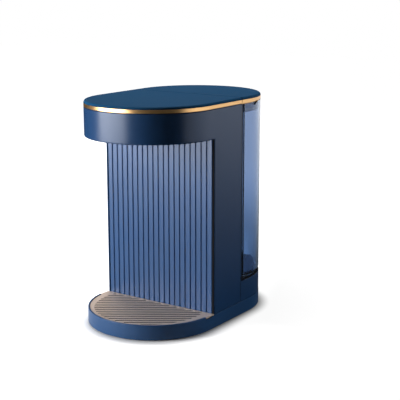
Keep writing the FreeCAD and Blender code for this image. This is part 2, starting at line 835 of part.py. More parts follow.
top = new_piece("top_cover")
covered_top(top)
skirt_radius = shell_inner - s.plug_gap
add(top, "skirt", head_top - s.cover_skirt, trim_top,
    lambda k: (stadium(k, skirt_radius), stadium(k, skirt_radius - s.cover_wall)))
cut(top, "rear_side", head_top - s.cover_skirt, s.overall_height,
    lambda k: rectangle(k, -plan_end, plan_end, s.split_back, plan_end))
touch_forward = s.end_spread + s.touch_beyond
touch_top = s.overall_height - s.touch_board_drop - s.board_thickness


def touch_posts(sketch):
    for x in (-1, 1):
        for y in (-1, 1):
            circle(sketch, (s.touch_board_half - s.touch_post_inset) * x,
                   (s.touch_board_depth / 2 - s.touch_post_inset) * y - touch_forward,
                   s.touch_post_radius)


add(top, "board_posts", s.overall_height - s.touch_board_drop, trim_top, touch_posts)

front_trim = new_piece("front_trim")
trim_band(front_trim)
cut(front_trim, "rear_side", trim_low, trim_top,
    lambda k: rectangle(k, -plan_end, plan_end, s.split_back, plan_end))

# Touch board under the front cover and the sensing pad that presses against the cover
touch = new_piece("touch_board")
add(touch, "board", touch_top, s.overall_height - s.touch_board_drop,
    lambda k: rectangle(k, -s.touch_board_half, s.touch_board_half,
                        -touch_forward - s.touch_board_depth / 2,
                        s.touch_board_depth / 2 - touch_forward))
touch_pad = new_piece("touch_pad")
place(touch_pad, ZERO, -touch_forward)
turn(touch_pad, "pad", [
    (ZERO, s.overall_height - s.touch_board_drop),
    (s.touch_pad_radius, s.overall_height - s.touch_board_drop),
    (s.touch_pad_radius, trim_top), (ZERO, trim_top)])

dock_back = s.end_spread + s.dock_beyond
socket_floor = s.shelf_height - s.socket_depth
sump_low = socket_floor - s.socket_sump
inlet_line = sump_low + s.socket_sump / 2
hose_window_top = inlet_line + s.hose_window_rise

# Rear cover: tank shelf below and the back plate of the column behind the housing
rear = new_piece("rear_cover")
add(rear, "lower_form", housing_bottom, s.shelf_height,
    lambda k: rear_end(k, s.body_radius, rear_start))
add(rear, "back_plate", s.shelf_height, head_top,
    lambda k: rectangle(k, -s.body_radius, s.body_radius, rear_start, back_face))
round_edges(rear, "tank_corner", s.tank_corner + s.tank_gap,
            lambda e: level(e, s.shelf_height) and e.BoundBox.XLength > s.body_radius.value
            and abs(e.BoundBox.YMin - back_face.value) < NEAR and e.BoundBox.YLength < NEAR)
round_edges(rear, "lip_round", s.lip_round,
            lambda e: level(e, s.shelf_height) and e.BoundBox.YMax > s.end_spread.value - NEAR
            and e.BoundBox.YLength > s.tank_corner.value)
cut(rear, "hollow", housing_bottom, s.shelf_height - s.shelf_thickness,
    lambda k: rear_end(k, shell_inner, back_face))
cut(rear, "hose_window", housing_bottom, hose_window_top,
    lambda k: rectangle(k, -s.hose_window / 2, s.hose_window / 2, s.split_back, back_face + s.seam_gap))
cut(rear, "socket_hole", s.shelf_height - s.shelf_thickness, s.shelf_height,
    lambda k: circle(k, ZERO, dock_back, s.socket_radius))

# Docking socket: a cup under the shelf with the pin that lifts the tank's valve
socket = new_piece("tank_socket")
place(socket, ZERO, dock_back)
cup_outer = s.socket_radius - s.socket_fit
cup_inner = cup_outer - s.socket_wall
shelf_under = s.shelf_height - s.shelf_thickness
pin_top = s.shelf_height - s.pin_below_shelf
turn(socket, "cup", [
    (ZERO, sump_low), (cup_inner, sump_low), (cup_outer, socket_floor - s.socket_wall),
    (cup_outer, shelf_under - s.socket_flange_height),
    (s.socket_flange, shelf_under - s.socket_flange_height), (s.socket_flange, shelf_under),
    (cup_outer, shelf_under), (cup_outer, s.shelf_height - s.seam_gap),
    (cup_inner, s.shelf_height - s.seam_gap), (cup_inner, socket_floor), (ZERO, socket_floor)])
add(socket, "pin", socket_floor, pin_top, lambda k: circle(k, ZERO, ZERO, s.pin_radius))
add(socket, "barb", -cup_outer - s.barb_length, -cup_inner + s.socket_wall,
    lambda k: circle(k, ZERO, inlet_line, s.barb_radius), role="XZ_Plane")
cut(socket, "barb_bore", -cup_outer - s.barb_length, -s.pin_radius * 3,
    lambda k: circle(k, ZERO, inlet_line, s.barb_bore), role="XZ_Plane")
cut(socket, "drain", inlet_line, socket_floor,
    lambda k: circle(k, ZERO, -s.pin_radius * 3, s.barb_bore))

dock_seal = new_piece("socket_seal")
place(dock_seal, ZERO, dock_back)
neck_clear = s.neck_radius + s.seal_gap
seal_top = s.shelf_height - s.seal_below_shelf
turn(dock_seal, "ring", [
    (neck_clear, seal_top - s.seal_height), (cup_inner, seal_top - s.seal_height),
    (cup_inner, seal_top), (neck_clear, seal_top)])

# Water tank: a thin clear shell with a plinth, a neck and a finger notch on each side
tank = new_piece("water_tank")
tank_radius = s.body_radius - s.tank_inset
tank_inner = tank_radius - s.tank_wall
tank_floor = tank_bottom + s.tank_wall
neck_low = tank_bottom - s.neck_depth
neck_bore = s.neck_radius - s.neck_wall
add(tank, "outer_form", tank_bottom, head_top, lambda k: rear_end(k, tank_radius, tank_front))
round_edges(tank, "lower_front_corner", s.tank_corner,
            lambda e: level(e, tank_bottom) and abs(e.BoundBox.YMax - tank_front.value) < NEAR)
round_edges(tank, "upright_edges", s.tank_edge,
            lambda e: e.BoundBox.ZLength > s.overall_height.value / 2
            and abs(e.BoundBox.YMax - tank_front.value) < NEAR)
cut(tank, "hollow", tank_floor, head_top,
    lambda k: rear_end(k, tank_inner, tank_front + s.tank_wall))
round_edges(tank, "inner_corner", s.tank_corner - s.tank_wall,
            lambda e: level(e, tank_floor) and e.BoundBox.YLength < NEAR)
add(tank, "plinth", s.shelf_height, tank_bottom + s.tank_wall / 2,
    lambda k: rear_end(k, tank_radius - s.plinth_inset,
                       tank_front + s.tank_corner + s.tank_wall / 2))
add(tank, "neck", neck_low, tank_bottom + s.tank_wall / 2,
    lambda k: circle(k, ZERO, dock_back, s.neck_radius))
cut(tank, "neck_bore", neck_low, tank_floor,
    lambda k: circle(k, ZERO, dock_back, neck_bore))
notch_front = tank_front + s.notch_space
cut(tank, "finger_notches", -plan_end, plan_end,
    lambda k: polygon(k, [(notch_front, head_top),
                          (notch_front + s.notch_width / 2, head_top - s.notch_depth),
                          (notch_front + s.notch_width, head_top)]), role="YZ_Plane")

# Tank valve: cage, plunger, seal and spring on the neck's axis
seat_top = neck_low + s.valve_lip + s.valve_floor
cage_outer = neck_bore - s.cage_wall / 2
cage_top = seat_top + s.cage_height
cage = new_piece("valve_cage")
place(cage, ZERO, dock_back)
turn(cage, "cage", [
    (s.valve_seat, neck_low + s.valve_lip), (neck_bore, neck_low + s.valve_lip),
    (neck_bore, seat_top), (cage_outer, seat_top), (cage_outer, cage_top + s.cage_roof),
    (s.stem_radius + s.stem_fit, cage_top + s.cage_roof), (s.stem_radius + s.stem_fit, cage_top),
    (cage_outer - s.cage_wall, cage_top), (cage_outer - s.cage_wall, seat_top),
    (s.valve_seat, seat_top)])
for name, role in (("windows_across", "YZ_Plane"), ("windows_along", "XZ_Plane")):
    cut(cage, name, -cage_outer * 2, cage_outer * 2,
        lambda k: rectangle(k, -s.cage_window / 2, s.cage_window / 2, tank_floor, cage_top),
        role=role)

plunger = new_piece("valve_plunger")
place(plunger, ZERO, dock_back)
seal_low = seat_top + s.valve_travel
head_low = seal_low + s.valve_seal
plunger_top = head_low + s.head_thickness
stem_top = cage_top + s.cage_roof + s.stem_over
turn(plunger, "plunger", [
    (ZERO, pin_top), (s.stem_tail, pin_top), (s.stem_tail, head_low), (s.head_radius, head_low),
    (s.head_radius, plunger_top), (s.stem_radius, plunger_top), (s.stem_radius, stem_top),
    (ZERO, stem_top)])
valve_seal = new_piece("valve_seal")
place(valve_seal, ZERO, dock_back)
turn(valve_seal, "seal", [(s.stem_tail, seal_low), (s.head_radius, seal_low),
                          (s.head_radius, head_low), (s.stem_tail, head_low)])

# Arched float housing on the tank floor beside the near wall, with its float and magnet
float_across = tank_inner - s.float_side_space - s.float_house_depth / 2
float_back = tank_front + s.tank_corner + s.float_corner_space + s.float_house_width / 2
arch_low = float_across - s.float_house_depth / 2
arch_high = float_across + s.float_house_depth / 2
house = new_piece("float_housing")
house_top = tank_floor + s.float_house_height
add(house, "arch_form", arch_low, arch_high,
    lambda k: arch(k, float_back, s.float_house_width, tank_floor, house_top), role="YZ_Plane")
cut(house, "arch_hollow", arch_low + s.float_house_wall, arch_high - s.float_house_wall,
    lambda k: arch(k, float_back, s.float_house_width - s.float_house_wall * 2,
                   tank_floor, house_top - s.float_house_wall), role="YZ_Plane")
cut(house, "water_ports", float_back - s.float_house_width, float_back + s.float_house_width,
    lambda k: rectangle(k, float_across - s.float_port, float_across + s.float_port,
                        tank_floor, tank_floor + s.float_port), role="XZ_Plane")
float_body = new_piece("level_float")
float_half = s.float_house_width / 2 - s.float_house_wall - s.float_gap
float_reach = s.float_house_depth / 2 - s.float_house_wall - s.float_gap
add(float_body, "float_form", tank_floor, tank_floor + s.float_height,
    lambda k: rectangle(k, float_across - float_reach, float_across + float_reach,
                        float_back - float_half, float_back + float_half))
cut(float_body, "magnet_hole", tank_floor, tank_floor + s.magnet_height,
    lambda k: circle(k, float_across, float_back, s.magnet_radius))
magnet = new_piece("float_magnet")
place(magnet, float_across, float_back)
turn(magnet, "magnet", [(ZERO, tank_floor), (s.magnet_radius, tank_floor),
                        (s.magnet_radius, tank_floor + s.magnet_height),
                        (ZERO, tank_floor + s.magnet_height)])

# Tank lid, the clear skirt under it with its gasket, and its trim band
lid = new_piece("tank_lid")
skirt_outer = tank_inner - s.skirt_gap
skirt_front = tank_front + s.tank_wall + s.skirt_gap
skirt_low = head_top - s.skirt_depth
covered_top(lid)
cut(lid, "front_side", trim_top, s.overall_height,
    lambda k: rectangle(k, -plan_end, plan_end, -plan_end, lid_start))
skirt = new_piece("lid_skirt")
add(skirt, "skirt", skirt_low, trim_top,
    lambda k: (rear_end(k, skirt_outer, skirt_front),
               rear_end(k, skirt_outer - s.skirt_wall, skirt_front + s.skirt_wall)))
gasket_low = skirt_low + s.lid_seal_lift
gasket_top = gasket_low + s.lid_seal_height
groove_outer = skirt_outer - s.lid_seal_groove
groove_front = skirt_front + s.lid_seal_groove
cut(skirt, "gasket_groove", gasket_low, gasket_top,
    lambda k: (rear_end(k, tank_inner, tank_front + s.tank_wall),
               rear_end(k, groove_outer, groove_front)))
lid_trim = new_piece("lid_trim")
trim_band(lid_trim)
add(lid_trim, "foot", head_top, trim_low,
    lambda k: (stadium(k, s.body_radius - s.shell_wall / 2), stadium(k, shell_inner)))
cut(lid_trim, "front_side", head_top, trim_top,
    lambda k: rectangle(k, -plan_end, plan_end, -plan_end, lid_start))
gasket = new_piece("lid_gasket")
add(gasket, "gasket", gasket_low, gasket_top,
    lambda k: (rear_end(k, tank_inner - s.lid_seal_gap, tank_front + s.tank_wall + s.lid_seal_gap),
               rear_end(k, groove_outer, groove_front)))

# Inner frame that carries the pump, the heater and the power board
frame = new_piece("inner_frame")
frame_face = s.frame_back
frame_half = shell_inner - s.frame_side_space
frame_top = head_underside - s.frame_head_space
standoff_across = frame_half - s.standoff_inset
frame_rear = s.frame_back + s.frame_thickness
add(frame, "frame_plate", frame_face, frame_rear,
    lambda k: rectangle(k, -frame_half, frame_half, s.seam_height, frame_top), role="XZ_Plane")
cut(frame, "hose_window", frame_face, frame_rear,
    lambda k: rectangle(k, -s.frame_window / 2, s.frame_window / 2, s.seam_height,
                        hose_window_top + s.clamp_height), role="XZ_Plane")


def standoff_places(sketch, radius):
    for x in (-standoff_across, standoff_across):
        for z in (s.standoff_low, frame_top - s.standoff_drop):
            circle(sketch, x, z, radius)


add(frame, "standoffs", frame_rear, rear_start,
    lambda k: standoff_places(k, s.standoff_radius), role="XZ_Plane")

# Pump on its rubber pad: chamber, cover, motor, clamp and the turning rotor
pump_x = s.pump_side_space - shell_inner
pump_y = -s.pump_forward
pump_low = s.seam_height + s.pump_pad
chamber_low = pump_low + s.pump_floor
chamber_top = chamber_low + s.pump_chamber
motor_low = chamber_top + s.pump_cover
motor_top = motor_low + s.motor_length
pad = new_piece("pump_pad")
place(pad, pump_x, pump_y)
turn(pad, "pad", [(ZERO, s.seam_height), (s.pump_radius, s.seam_height),
                  (s.pump_radius, pump_low), (ZERO, pump_low)])
pump = new_piece("pump_housing")
place(pump, pump_x, pump_y)
turn(pump, "cup", [
    (ZERO, pump_low), (s.pump_radius, pump_low), (s.pump_radius, chamber_top),
    (s.pump_radius - s.pump_wall, chamber_top), (s.pump_radius - s.pump_wall, chamber_low),
    (ZERO, chamber_low)])
pump_line = chamber_low + s.pump_chamber / 2
barb_end = s.pump_radius + s.barb_length
outlet_line = -s.pump_line_offset


def pump_lines(sketch, radius):
    """The inlet on the pump's axis and the outlet beside it, both towards the right."""
    circle(sketch, ZERO, pump_line, radius)
    circle(sketch, outlet_line, pump_line, radius)


add(pump, "barbs", s.pump_radius / 2, barb_end, lambda k: pump_lines(k, s.barb_radius),
    role="YZ_Plane")
cut(pump, "chamber_again", chamber_low, chamber_top,
    lambda k: circle(k, ZERO, ZERO, s.pump_radius - s.pump_wall))
cut(pump, "barb_bores", s.pump_radius / 2, barb_end, lambda k: pump_lines(k, s.barb_bore),
    role="YZ_Plane")
pump_lid = new_piece("pump_cover")
place(pump_lid, pump_x, pump_y)
turn(pump_lid, "cover", [
    (s.shaft_radius + s.shaft_fit, chamber_top), (s.pump_radius, chamber_top),
    (s.pump_radius, motor_low), (s.shaft_radius + s.shaft_fit, motor_low)])
motor = new_piece("pump_motor")
place(motor, pump_x, pump_y)
turn(motor, "can", [
    (s.shaft_radius + s.shaft_fit, motor_low), (s.motor_radius, motor_low),
    (s.motor_radius, motor_top), (s.motor_neck, motor_top),
    (s.motor_neck, motor_top + s.motor_neck_height), (ZERO, motor_top + s.motor_neck_height),
    (ZERO, motor_low + s.shaft_depth + s.seam_gap),
    (s.shaft_radius + s.shaft_fit, motor_low + s.shaft_depth + s.seam_gap)])
impeller = new_piece("impeller")
place(impeller, pump_x, pump_y)
impeller_low = chamber_low + s.impeller_gap
disc_top = impeller_low + s.impeller_disc
turn(impeller, "disc", [
    (ZERO, impeller_low), (s.impeller_radius, impeller_low), (s.impeller_radius, disc_top),
    (s.impeller_hub, disc_top), (s.impeller_hub, disc_top + s.vane_height),
    (ZERO, disc_top + s.vane_height)])
vane = add(impeller, "vane", disc_top - s.seam_gap, disc_top + s.vane_height,
           lambda k: rectangle(k, s.impeller_hub - s.seam_gap, s.impeller_radius - s.seam_gap,
                               -s.vane_width / 2, s.vane_width / 2))
repeat_round(impeller, vane, "vanes", s.vane_count)
shaft = new_piece("motor_shaft")
place(shaft, pump_x, pump_y)
turn(shaft, "shaft", [
    (ZERO, disc_top + s.vane_height), (s.shaft_radius, disc_top + s.vane_height),
    (s.shaft_radius, motor_low + s.shaft_depth), (ZERO, motor_low + s.shaft_depth)])


def clamp_on_frame(name, x, y, bore, low, high):
    """A ring round a standing cylinder, with an arm back to the inner frame."""
    body = new_piece(name)
    place(body, x, y)
    add(body, "ring", low, high, lambda k: circle(k, ZERO, ZERO, bore + s.clamp_wall))
    add(body, "arm", low, high, lambda k: rectangle(k, -bore, bore, ZERO, s.frame_back - y))
    cut(body, "bore", low, high, lambda k: circle(k, ZERO, ZERO, bore))


clamp_on_frame("motor_clamp", pump_x, pump_y, s.motor_radius, motor_top - s.clamp_height, motor_top)

# Flow heater: a steel tube between two caps, with printed tracks, a cut-out and a sensor
heater_x = shell_inner - s.heater_side_space
heater_y = -s.heater_forward
heater_top = hose_line - s.heater_headroom
tube = new_piece("heater_tube")
place(tube, heater_x, heater_y)
turn(tube, "tube", [
    (s.heater_radius - s.heater_wall, s.heater_low), (s.heater_radius, s.heater_low),
    (s.heater_radius, heater_top), (s.heater_radius - s.heater_wall, heater_top)])
cap_outer = s.heater_radius + s.heater_cap_wall
cap_ends = {}
for name, seat, way in (("heater_cap_lower", s.heater_low, -1), ("heater_cap_upper", heater_top, 1)):
    cap = new_piece(name)
    place(cap, heater_x, heater_y)
    closed = seat + s.heater_cap_height * way
    rim = seat - s.heater_cap_over * way
    end = closed + s.barb_length * way
    cap_ends[name] = end
    turn(cap, "cap", [
        (s.heater_radius, rim), (cap_outer, rim), (cap_outer, closed), (s.barb_radius, closed),
        (s.barb_radius, end), (s.barb_bore, end), (s.barb_bore, closed - s.heater_cap_wall * way),
        (s.heater_radius - s.heater_cap_wall, closed - s.heater_cap_wall * way),
        (s.heater_radius - s.heater_cap_wall, seat), (s.heater_radius, seat)])
film = new_piece("heater_tracks")
place(film, heater_x, heater_y)
film_spacing = (heater_top - s.heater_low - s.cutoff_zone) / s.film_count
film_low = s.heater_low + film_spacing
track = add(film, "track", film_low, film_low + s.film_width,
            lambda k: (circle(k, ZERO, ZERO, s.heater_radius + s.film_thickness),
                       circle(k, ZERO, ZERO, s.heater_radius)))
repeat(film, track, "tracks", "N_Axis", film_spacing * (s.film_count - 1), s.film_count)
for name, low in (("heater_clamp_lower", s.heater_low - s.heater_cap_over),
                  ("heater_clamp_upper", heater_top - s.heater_cap_over / 2)):
    clamp_on_frame(name, heater_x, heater_y, cap_outer, low, low + s.heater_cap_height)

# Safety cut-out pressed on the heater's side, and the sensor on its upper cap
cutoff = new_piece("thermal_cutout")
cutoff.Placement = FreeCAD.Placement(vec(0, 0, 0), FreeCAD.Rotation(vec(0, 1, 0), -90))
place(cutoff, heater_x - s.heater_radius, heater_y, heater_top - s.cutoff_zone / 2)
turn(cutoff, "disc", [
    (ZERO, ZERO), (s.cutoff_radius, ZERO), (s.cutoff_radius, s.cutoff_step),
    (s.cutoff_neck, s.cutoff_step), (s.cutoff_neck, s.cutoff_height), (ZERO, s.cutoff_height)])
sensor = new_piece("temperature_sensor")
cap_top = heater_top + s.heater_cap_height
place(sensor, heater_x + s.heater_radius - s.sensor_inset, heater_y)
turn(sensor, "probe", [
    (ZERO, cap_top), (s.sensor_radius, cap_top), (s.sensor_radius, cap_top + s.sensor_length),
    (ZERO, cap_top + s.sensor_length)])

# Power board on posts in front of the inner frame, with its parts
board_front = s.frame_back - s.board_post - s.board_thickness
board_left = pump_x - s.board_width / 2
board_right = pump_x + s.board_width / 2
board_high = s.board_low + s.board_height


def board_post_places(sketch):
    for x in (board_left + s.board_post_inset, board_right - s.board_post_inset):
        for z in (s.board_low + s.board_post_inset, board_high - s.board_post_inset):
            circle(sketch, x, z, s.board_post_radius)


add(frame, "board_posts", s.frame_back - s.board_post, s.frame_back, board_post_places,
    role="XZ_Plane")
board = new_piece("power_board")
add(board, "board", board_front, board_front + s.board_thickness,
    lambda k: rectangle(k, board_left, board_right, s.board_low, board_high), role="XZ_Plane")
parts = new_piece("board_components")
relay_low = s.board_low + s.board_post_inset * 3
choke_low = relay_low + s.relay_height + s.board_post_inset
terminal_low = choke_low + s.choke_size + s.board_post_inset
add(parts, "relays", board_front - s.relay_depth, board_front,
    lambda k: (rectangle(k, board_left + s.board_post, pump_x - s.relay_space,
                         relay_low, relay_low + s.relay_height),
               rectangle(k, pump_x + s.relay_space, board_right - s.board_post,
                         relay_low, relay_low + s.relay_height)), role="XZ_Plane")
add(parts, "choke", board_front - s.choke_size, board_front,
    lambda k: rectangle(k, board_left + s.board_post, board_left + s.board_post + s.choke_size,
                        choke_low, choke_low + s.choke_size), role="XZ_Plane")
add(parts, "capacitor", board_front - s.capacitor_length, board_front,
    lambda k: circle(k, board_right - s.capacitor_radius * 2, choke_low + s.choke_size / 2,
                     s.capacitor_radius), role="XZ_Plane")
add(parts, "terminals", board_front - s.terminal_depth, board_front,
    lambda k: rectangle(k, board_left + s.board_post, board_right - s.board_post,
                        terminal_low, terminal_low + s.terminal_height), role="XZ_Plane")


# Hoses: straight runs joined by tangent arcs, slipped over the barbs and held by clips
def bent_path(points):
    """A wire through the points, with arcs as large as the two runs at each corner allow.

    A corner where the path goes straight on is passed over.
    """
    edges = []
    start = points[0]
    for before, corner, after in zip(points, points[1:], points[2:]):
        way_in = (corner - before).normalize()
        way_out = (after - corner).normalize()
        setback = 0.45 * min((corner - before).Length, (after - corner).Length)
        half_turn = way_in.getAngle(way_out) / 2
        if half_turn < NEAR:
            continue
        radius = setback / math.tan(half_turn)
        inward = (way_out - way_in).normalize()
        arc_start = corner - way_in * setback
        arc_end = corner + way_out * setback
        arc_middle = corner + inward * (radius / math.cos(half_turn) - radius)
        edges.append(Part.LineSegment(start, arc_start).toShape())
        edges.append(Part.Arc(arc_start, arc_middle, arc_end).toShape())
        start = arc_end
    edges.append(Part.LineSegment(start, points[-1]).toShape())
    return Part.Wire(edges)


def hose(name, points):
    """A hose with its bore along a bent path."""
    places = [vec(x.value, y.value, z.value) for x, y, z in points]
    path = bent_path(places)
    solids = []
    for radius in (s.hose_radius.value, (s.barb_radius + s.hose_fit).value):
        section = Part.Wire(Part.Circle(places[0], places[1] - places[0], radius).toShape())
        solids.append(path.makePipeShell([section], True, False))
    shape = solids[0].cut(solids[1])
    wall_area = math.pi * (s.hose_radius.value ** 2 - (s.barb_radius + s.hose_fit).value ** 2)
    if abs(shape.Volume - wall_area * path.Length) > 0.01 * shape.Volume:
        raise RuntimeError(f"{name} has the wrong volume")
    item = doc.addObject("Part::Feature", name)
    item.Label = name
    item.Shape = shape
    nodes.append(item)


socket_end = dock_back - cup_outer - s.barb_length + s.hose_slip
pump_end = pump_x + barb_end - s.hose_slip
outlet_y = pump_y + outlet_line
lower_end = cap_ends["heater_cap_lower"] + s.hose_slip
upper_end = cap_ends["heater_cap_upper"] - s.hose_slip
nozzle_end = -nozzle_forward + s.nozzle_radius + s.barb_length - s.hose_slip
hose("inlet_hose", [(ZERO, socket_end, inlet_line), (ZERO, s.split_back, inlet_line),
                    (ZERO, frame_face, pump_line), (ZERO, pump_y, pump_line),
                    (pump_end, pump_y, pump_line)])
hose("heater_hose", [(pump_end, outlet_y, pump_line), (heater_x - s.hose_step, outlet_y, pump_line),
                     (heater_x, heater_y, pump_line + s.hose_rise), (heater_x, heater_y, lower_end)])
hose("outlet_hose", [(heater_x, heater_y, upper_end), (heater_x, heater_y, hose_line),
                     (ZERO, -s.hose_turn_forward, hose_line), (ZERO, nozzle_end, hose_line)])

across, along, up = vec(1, 0, 0), vec(0, 1, 0), vec(0, 0, 1)
rings = []
for x, y, z, axis, way in (
        (ZERO, socket_end, inlet_line, along, -1), (pump_end, pump_y, pump_line, across, 1),
        (pump_end, outlet_y, pump_line, across, 1), (heater_x, heater_y, lower_end, up, -1),
        (heater_x, heater_y, upper_end, up, 1), (ZERO, nozzle_end, hose_line, along, 1)):
    start = vec(x.value, y.value, z.value) + axis * (way * s.clip_width.value / 2)
    solid = Part.makeCylinder(s.clip_radius.value, s.clip_width.value, start, axis * way)
    bore = Part.makeCylinder(s.hose_radius.value, s.clip_width.value, start, axis * way)
    rings.append(solid.cut(bore))
clips = doc.addObject("Part::Feature", "hose_clips")
clips.Label = "hose_clips"
clips.Shape = Part.makeCompound(rings)
nodes.append(clips)

# Valve spring between the plunger's head and the cage roof
spring_low = plunger_top + s.spring_wire + s.spring_gap
spring_rise = cage_top - s.spring_wire - s.spring_gap - spring_low
spring_pitch = spring_rise / s.spring_turns
spring_points = []
for step in range(int(s.spring_turns.value * 12) + 1):
    angle = math.radians(step * 30)
    outward = vec(math.cos(angle), math.sin(angle), 0) * s.spring_radius.value
    spring_points.append(outward + vec(0, 0, spring_low.value + spring_pitch.value * step / 12))
coil = Part.BSplineCurve()
coil.interpolate(spring_points)
section = Part.Wire(Part.Circle(spring_points[0], coil.tangent(0)[0], s.spring_wire.value).toShape())
spring = doc.addObject("Part::Feature", "valve_spring")
spring.Label = "valve_spring"
spring.Shape = Part.Wire(coil.toShape()).makePipeShell([section], True, False)
place(spring, ZERO, dock_back)
nodes.append(spring)

# Sheet, shape and file checks, then the export
doc.recompute()
for item in doc.Objects:
    if "Invalid" in item.State or "Error" in item.State:
        raise RuntimeError(f"{item.Label} failed: {item.State}")
for before, after in cuts:
    if after.Shape.Volume > before.Shape.Volume - 1e-3:
        raise RuntimeError(f"{after.Label} takes nothing away")
os.makedirs("parts", exist_ok=True)
for node in nodes:
    if node.Shape.isNull() or not node.Shape.isValid():
        raise RuntimeError(f"{node.Label} has no valid shape")
    node.Shape.exportStep(os.path.join("parts", node.Label + ".step"))
    print(node.Label, len(node.Shape.Solids), round(node.Shape.Volume, 1))
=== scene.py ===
"""Looks of the water warmer: materials, floor, light and camera."""
import math
import bpy
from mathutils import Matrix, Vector

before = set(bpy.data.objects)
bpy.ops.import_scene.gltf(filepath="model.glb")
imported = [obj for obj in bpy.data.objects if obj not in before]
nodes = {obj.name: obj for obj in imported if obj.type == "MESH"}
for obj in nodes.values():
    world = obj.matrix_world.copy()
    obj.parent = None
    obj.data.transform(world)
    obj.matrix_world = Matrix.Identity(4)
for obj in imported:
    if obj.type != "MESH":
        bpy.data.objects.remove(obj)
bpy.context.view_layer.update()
MM = 0.001

# The body's footprint: the radius of its round ends, and how far their middles stand from its own
BODY_RADIUS = 66.2 * MM
END_SPREAD = 36.0 * MM

# Where painted shade lies as dark lines in seams, gaps, slots and at the tank's foot, which
# geometry alone shows too light at the photograph's size
SEAM_PLACE = 19.7 * MM
SEAM_REACH = 0.3 * MM
PANEL_END = 63.7 * MM
GROOVE_END = PANEL_END + 1.7 * MM
GROOVE_BACK = -26.3 * MM
GROOVE_TOP = 186.0 * MM
GAP_FRONT = 20.8 * MM
GAP_FOOT = 35.3 * MM
GAP_DEPTH = 3.5 * MM
PLATE_TOP = 14.7 * MM
SLOT_TOP = PLATE_TOP - 0.2 * MM
PLATE_RIM = 6.0 * MM
TANK_FRONT = 24.0 * MM
TANK_EDGE = TANK_FRONT + 0.1 * MM
TANK_SIDE = 2.2 * MM
TANK_FOOT = (37.5 * MM, 39.3 * MM)
# Share of its colour that a surface keeps where shade is painted
PAINTED_SHADE_TONE = 0.05

# Heights between which the tank's tint turns from the lower colour to the upper one: painted
# shade, deeper towards the foot
TANK_SHADE_HEIGHTS = (40.0 * MM, 160.0 * MM)

# Grain of the surfaces, in waves per metre along each axis
MOULD_CLOUD = (18, 18, 18)
MOULD_GRAIN = (5200, 5200, 5200)
RUBBER_GRAIN = (2500, 2500, 2500)
TANK_WAVE = (40, 40, 12)
BAND_LINES = (120, 120, 2600)
PLATE_LINES = (60, 2600, 900)
STEEL_LINES = (900, 900, 900)
CAN_LINES = (200, 200, 1800)
USUAL_NOISE = (0.2, 0.8)

# Radius by which the normals soften an edge
MOULD_EDGE = 0.25 * MM
METAL_EDGE = 0.2 * MM
RUBBER_EDGE = 0.2 * MM
HOUSING_EDGE = 1.2 * MM
COVER_EDGE = 2.0 * MM
EDGE_SAMPLES = 6


# Node helpers
def put(tree, socket, value):
    """The socket takes a number, a colour or what another node gives."""
    if isinstance(value, bpy.types.NodeSocket):
        tree.links.new(value, socket)
    else:
        socket.default_value = value


def feed(tree, node, **values):
    """Each named input of the node takes its value."""
    for name, value in values.items():
        put(tree, node.inputs[name.replace("_", " ")], value)


def make(tree, kind, **values):
    """A node with its named inputs fed."""
    node = tree.nodes.new(kind)
    feed(tree, node, **values)
    return node


def new_material(name):
    """A node material with its shader and an output."""
    material = bpy.data.materials.new(name)
    material.use_nodes = True
    tree = material.node_tree
    tree.nodes.clear()
    shader = tree.nodes.new("ShaderNodeBsdfPrincipled")
    make(tree, "ShaderNodeOutputMaterial", Surface=shader.outputs["BSDF"])
    return material, tree, shader


def calculate(tree, operation, one, other=0.0):
    """One value of two, each a socket or a number."""
    node = tree.nodes.new("ShaderNodeMath")
    node.operation = operation
    for socket, value in zip(node.inputs, (one, other)):
        put(tree, socket, value)
    return node.outputs["Value"]


def product(tree, first, *others):
    """All the values multiplied, so for masks one where each is one."""
    for other in others:
        first = calculate(tree, "MULTIPLY", first, other)
    return first


def largest(tree, first, *others):
    """The largest of the values, so for masks one where any is one."""
    for other in others:
        first = calculate(tree, "MAXIMUM", first, other)
    return first


def over(tree, source, limit):
    """One where the source is more than the limit."""
    return calculate(tree, "GREATER_THAN", source, limit)


def under(tree, source, limit):
    """One where the source is less than the limit."""
    return calculate(tree, "LESS_THAN", source, limit)


def fade(tree, source, span, values, course="SMOOTHSTEP"):
    """A value that goes from the first of two to the second over a span of the source."""
    ramp = make(tree, "ShaderNodeMapRange", Value=source, From_Min=span[0], From_Max=span[1],
                To_Min=values[0], To_Max=values[1])
    ramp.interpolation_type = course
    return ramp.outputs["Result"]


def along(tree, source, direction):
    """How far a place or a direction goes along another direction."""
    dot = tree.nodes.new("ShaderNodeVectorMath")
    dot.operation = "DOT_PRODUCT"
    dot.inputs[1].default_value = direction
    tree.links.new(source, dot.inputs[0])
    return dot.outputs["Value"]


def fade_along(tree, source, course, values):
    """A fade along a direction. The course is that direction and the span on it."""
    direction, span = course
    return fade(tree, along(tree, source, direction), span, values)


def object_place(tree):
    """The place on the piece, whole and as its three parts."""
    place = tree.nodes.new("ShaderNodeTexCoord").outputs["Object"]
    return place, make(tree, "ShaderNodeSeparateXYZ", Vector=place).outputs


def beyond_footprint(tree, parts):
    """How far a place lies outside the body's footprint, or below zero how far inside."""
    past_middle = calculate(tree, "SUBTRACT", calculate(tree, "ABSOLUTE", parts["Y"]), END_SPREAD)
    lengthways = largest(tree, past_middle, 0.0)
    square = calculate(tree, "ADD", product(tree, parts["X"], parts["X"]),
                       product(tree, lengthways, lengthways))
    return calculate(tree, "SUBTRACT", calculate(tree, "SQRT", square), BODY_RADIUS)


# Colours and grain
def srgb(red, green, blue):
    """A colour given as it shows on screen, 0 to 255, as linear values."""
    out = []
    for value in (red, green, blue):
        v = value / 255
        out.append(v / 12.92 if v <= 0.04045 else ((v + 0.055) / 1.055) ** 2.4)
    return (*out, 1)


def scaled(colour, factor):
    """The colour, lighter or darker by a factor."""
    return (*(channel * factor for channel in colour[:3]), 1)


